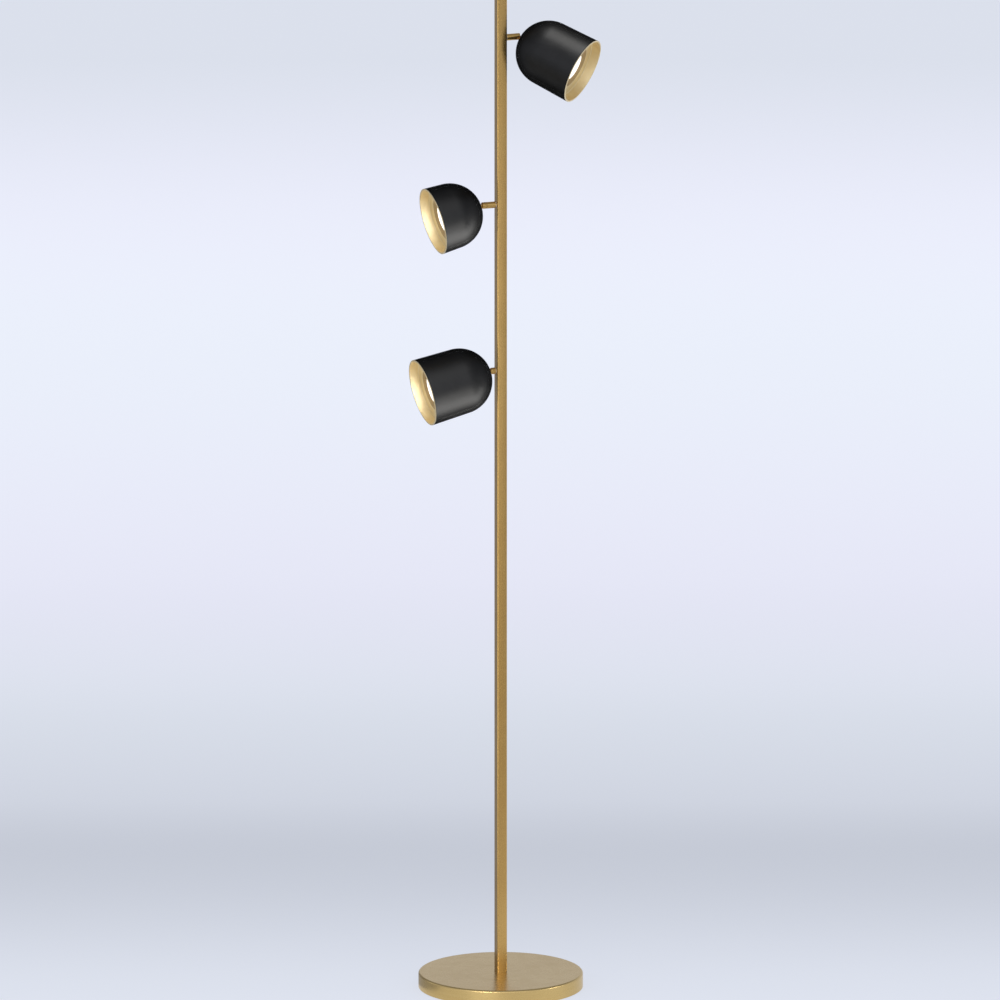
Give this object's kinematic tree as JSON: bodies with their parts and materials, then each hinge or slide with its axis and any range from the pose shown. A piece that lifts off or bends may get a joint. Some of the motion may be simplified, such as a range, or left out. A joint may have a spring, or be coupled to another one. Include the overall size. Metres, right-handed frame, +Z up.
{
  "type": "floor lamp",
  "caption": "Floor lamp with a square brass pole on a round weighted base, and black dome spot heads that swivel and tilt on short stems.",
  "frame": {"origin": "centre of the round face that stands on the floor, on the axis of the pole", "axes": "+Z up along the pole, +X out of the pole face that carries the upper stem, +Y to the back, where the cord enters the base"},
  "size_m": [0.2794, 0.2515, 1.6],
  "materials": {
    "brass_satin": "satin",
    "black_satin": "satin black powder coat",
    "gold_liner": "gold anodised, satin",
    "gold_funnel": "gold anodised, satin, darker",
    "opal_lens": "opal",
    "board_white": "white solder mask",
    "sink_aluminium": "die cast",
    "fastener_steel": "zinc plated",
    "nylon": "natural",
    "cast_iron": "rough",
    "plate_steel": "zinc plated",
    "pad_rubber": "matt",
    "grommet_rubber": "matt",
    "terminal_plastic": "matt",
    "driver_plastic": "matt",
    "wire_sleeve": "smooth"
  },
  "bodies": {
    "root": {"base_cover": "brass_satin", "base_weight": "cast_iron", "base_plate": "plate_steel", "base_pad": "pad_rubber", "base_screws": "fastener_steel", "cable_grommet": "grommet_rubber", "terminal_block": "terminal_plastic", "led_driver": "driver_plastic", "driver_screws": "fastener_steel", "pole": "brass_satin", "pole_plug": "fastener_steel", "pole_nipple": "fastener_steel", "pole_clamp": "fastener_steel", "pole_cap": "brass_satin", "swivel_inserts": "brass_satin", "pole_wires": "wire_sleeve"},
    "upper_stem": {"upper_stem": "brass_satin", "upper_swivel_washer": "nylon", "upper_pivot_screw": "brass_satin"},
    "upper_head": {"upper_shade": "black_satin", "upper_reflector": "gold_liner", "upper_bezel": "gold_funnel", "upper_lens": "opal_lens", "upper_led_board": "board_white", "upper_heat_sink": "sink_aluminium", "upper_module_screws": "fastener_steel", "upper_neck": "brass_satin", "upper_neck_nut": "fastener_steel", "upper_head_wire": "wire_sleeve"},
    "middle_stem": {"middle_stem": "brass_satin", "middle_swivel_washer": "nylon", "middle_pivot_screw": "brass_satin"},
    "middle_head": {"middle_shade": "black_satin", "middle_reflector": "gold_liner", "middle_bezel": "gold_funnel", "middle_lens": "opal_lens", "middle_led_board": "board_white", "middle_heat_sink": "sink_aluminium", "middle_module_screws": "fastener_steel", "middle_neck": "brass_satin", "middle_neck_nut": "fastener_steel", "middle_head_wire": "wire_sleeve"},
    "lower_stem": {"lower_stem": "brass_satin", "lower_swivel_washer": "nylon", "lower_pivot_screw": "brass_satin"},
    "lower_head": {"lower_shade": "black_satin", "lower_reflector": "gold_liner", "lower_bezel": "gold_funnel", "lower_lens": "opal_lens", "lower_led_board": "board_white", "lower_heat_sink": "sink_aluminium", "lower_module_screws": "fastener_steel", "lower_neck": "brass_satin", "lower_neck_nut": "fastener_steel", "lower_head_wire": "wire_sleeve"}
  },
  "joints": [
    {"name": "upper_swivel", "type": "hinge", "parent": "root", "child": "upper_stem", "pos_m": [0.008, 0, 1.477], "axis": [1, 0, 0], "range_deg": [-109.5, 230.5]},
    {"name": "upper_tilt", "type": "hinge", "parent": "upper_stem", "child": "upper_head", "pos_m": [0.025, 0, 1.477], "axis": [0, 0.4924, -0.8704], "range_deg": [-98.5, 1.5]},
    {"name": "middle_swivel", "type": "hinge", "parent": "root", "child": "middle_stem", "pos_m": [-0.008, 0, 1.2195], "axis": [-1, 0, 0], "range_deg": [-170, 170]},
    {"name": "middle_tilt", "type": "hinge", "parent": "middle_stem", "child": "middle_head", "pos_m": [-0.025, 0, 1.2195], "axis": [0, -1, 0], "range_deg": [-62.5, 37.5]},
    {"name": "lower_swivel", "type": "hinge", "parent": "root", "child": "lower_stem", "pos_m": [-0.008, 0, 0.962], "axis": [-1, 0, 0], "range_deg": [-170, 170]},
    {"name": "lower_tilt", "type": "hinge", "parent": "lower_stem", "child": "lower_head", "pos_m": [-0.0123, 0, 0.962], "axis": [0, -1, 0], "range_deg": [-45.5, 20.5]}
  ]
}
